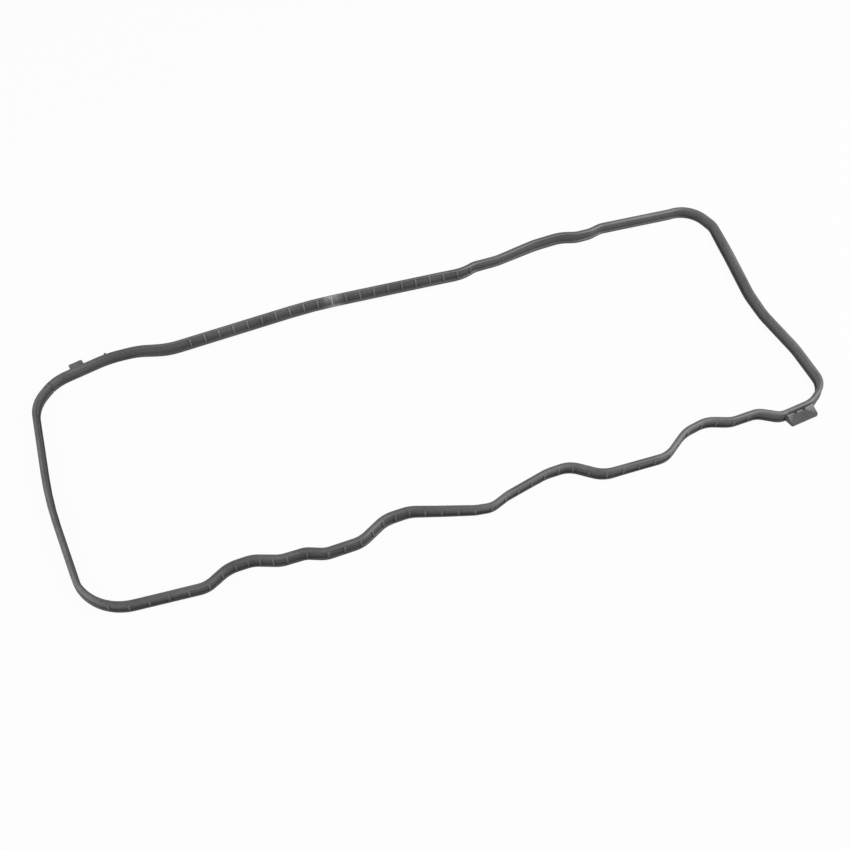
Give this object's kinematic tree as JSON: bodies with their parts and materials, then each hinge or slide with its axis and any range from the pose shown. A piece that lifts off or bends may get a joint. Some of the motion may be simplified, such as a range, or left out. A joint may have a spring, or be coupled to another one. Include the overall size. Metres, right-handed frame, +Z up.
{
  "type": "valve cover gasket",
  "caption": "Long closed loop of moulded rubber with side ribs and small tabs, lying flat, that seals an engine's rocker cover to the cylinder head.",
  "frame": {"origin": "under the middle of the loop, on the plane that the sealing foot stands on", "axes": "+X along the loop, from its wide rounded end to the end beside the large tab; +Y across it, from the waved run to the straighter run; +Z up, from the sealing foot to the head"},
  "size_m": [0.451, 0.1863, 0.0079],
  "materials": {
    "moulded_rubber": "moulded, dull with a faint sheen"
  },
  "bodies": {
    "root": {"valve_cover_gasket": "moulded_rubber"}
  },
  "joints": []
}
